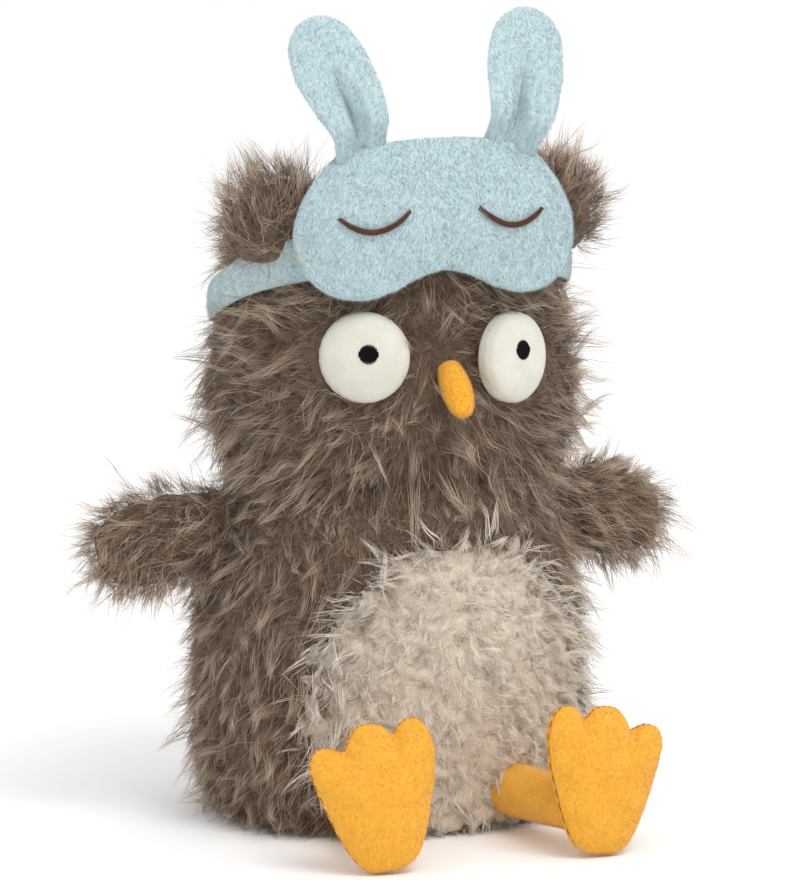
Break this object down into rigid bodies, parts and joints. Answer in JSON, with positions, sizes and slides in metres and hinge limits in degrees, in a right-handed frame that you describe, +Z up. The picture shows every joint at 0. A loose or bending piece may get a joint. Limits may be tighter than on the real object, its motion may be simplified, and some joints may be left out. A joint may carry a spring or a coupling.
{
  "type": "plush owl",
  "caption": "Sitting stuffed owl with long-pile covers, stuffed eyes, beak, wings and feet, and a padded sleep mask with bunny ears on a strap.",
  "frame": {"origin": "on the flat seat panel's underside, where the toy sits, straight below the axis that the head turns on", "axes": "+Z up through the head, -Y the way the owl faces, +X the owl's left"},
  "size_m": [0.2234, 0.1728, 0.2945],
  "materials": {
    "brown_pile": "matte",
    "cream_pile": "matte",
    "seat_cloth": "matte",
    "blue_plush": "matte",
    "orange_plush": "matte",
    "beak_plush": "matte",
    "eye_cloth": "matte",
    "black_thread": "satin",
    "brown_thread": "satin",
    "fibre": "matte",
    "pouch_cloth": "matte"
  },
  "bodies": {
    "body": {"body_cover": "brown_pile", "belly_patch": "cream_pile", "base_panel": "seat_cloth", "body_filling": "fibre", "bean_pouch": "pouch_cloth"},
    "head": {"head_cover": "brown_pile", "head_filling": "fibre", "ear_tuft_left": "brown_pile", "ear_tuft_right": "brown_pile", "eye_left": "eye_cloth", "eye_right": "eye_cloth", "pupil_left": "black_thread", "pupil_right": "black_thread", "beak": "beak_plush", "mask_strap": "blue_plush"},
    "mask": {"mask_front": "blue_plush", "mask_lining": "blue_plush", "mask_padding": "fibre", "eyelid_left": "brown_thread", "eyelid_right": "brown_thread"},
    "mask_ear_left": {"mask_ear_left": "blue_plush"},
    "mask_ear_right": {"mask_ear_right": "blue_plush"},
    "wing_left": {"wing_left": "brown_pile", "wing_filling_left": "fibre"},
    "wing_right": {"wing_right": "brown_pile", "wing_filling_right": "fibre"},
    "leg_left": {"leg_left": "orange_plush", "leg_filling_left": "fibre", "foot_sole_left": "orange_plush", "foot_upper_left": "orange_plush", "foot_filling_left": "fibre"},
    "leg_right": {"leg_right": "orange_plush", "leg_filling_right": "fibre", "foot_sole_right": "orange_plush", "foot_upper_right": "orange_plush", "foot_filling_right": "fibre"}
  },
  "joints": [
    {"name": "head_turn", "type": "hinge", "parent": "body", "child": "head", "pos_m": [0, 0, 0.124], "axis": [0, 0, 1], "range_deg": [-20, 20], "stiffness_Nm_per_rad": 0.4},
    {"name": "mask_pull_down", "type": "slide", "parent": "head", "child": "mask", "axis": [0, -0.5878, -0.809], "range_m": [0, 0.037], "deforming": ["mask_strap"]},
    {"name": "mask_ear_left_bend", "type": "hinge", "parent": "mask", "child": "mask_ear_left", "pos_m": [0.02835, -0.05085, 0.24699], "axis": [1, 0, 0], "range_deg": [-20, 50], "stiffness_Nm_per_rad": 0.02},
    {"name": "mask_ear_right_bend", "type": "hinge", "parent": "mask", "child": "mask_ear_right", "pos_m": [-0.02835, -0.05085, 0.24699], "axis": [1, 0, 0], "range_deg": [-20, 50], "stiffness_Nm_per_rad": 0.02},
    {"name": "wing_left_flap", "type": "hinge", "parent": "body", "child": "wing_left", "pos_m": [0.06422, -0.002, 0.107], "axis": [0, -1, 0], "range_deg": [-40, 20], "stiffness_Nm_per_rad": 0.1},
    {"name": "wing_right_flap", "type": "hinge", "parent": "body", "child": "wing_right", "pos_m": [-0.06422, -0.002, 0.107], "axis": [0, 1, 0], "range_deg": [-40, 20], "stiffness_Nm_per_rad": 0.1},
    {"name": "leg_left_swing", "type": "hinge", "parent": "body", "child": "leg_left", "pos_m": [0.028, -0.05834, 0.015], "axis": [-1, 0, 0], "range_deg": [-70, 30], "stiffness_Nm_per_rad": 0.15},
    {"name": "leg_right_swing", "type": "hinge", "parent": "body", "child": "leg_right", "pos_m": [-0.028, -0.05834, 0.015], "axis": [-1, 0, 0], "range_deg": [-70, 30], "stiffness_Nm_per_rad": 0.15}
  ]
}
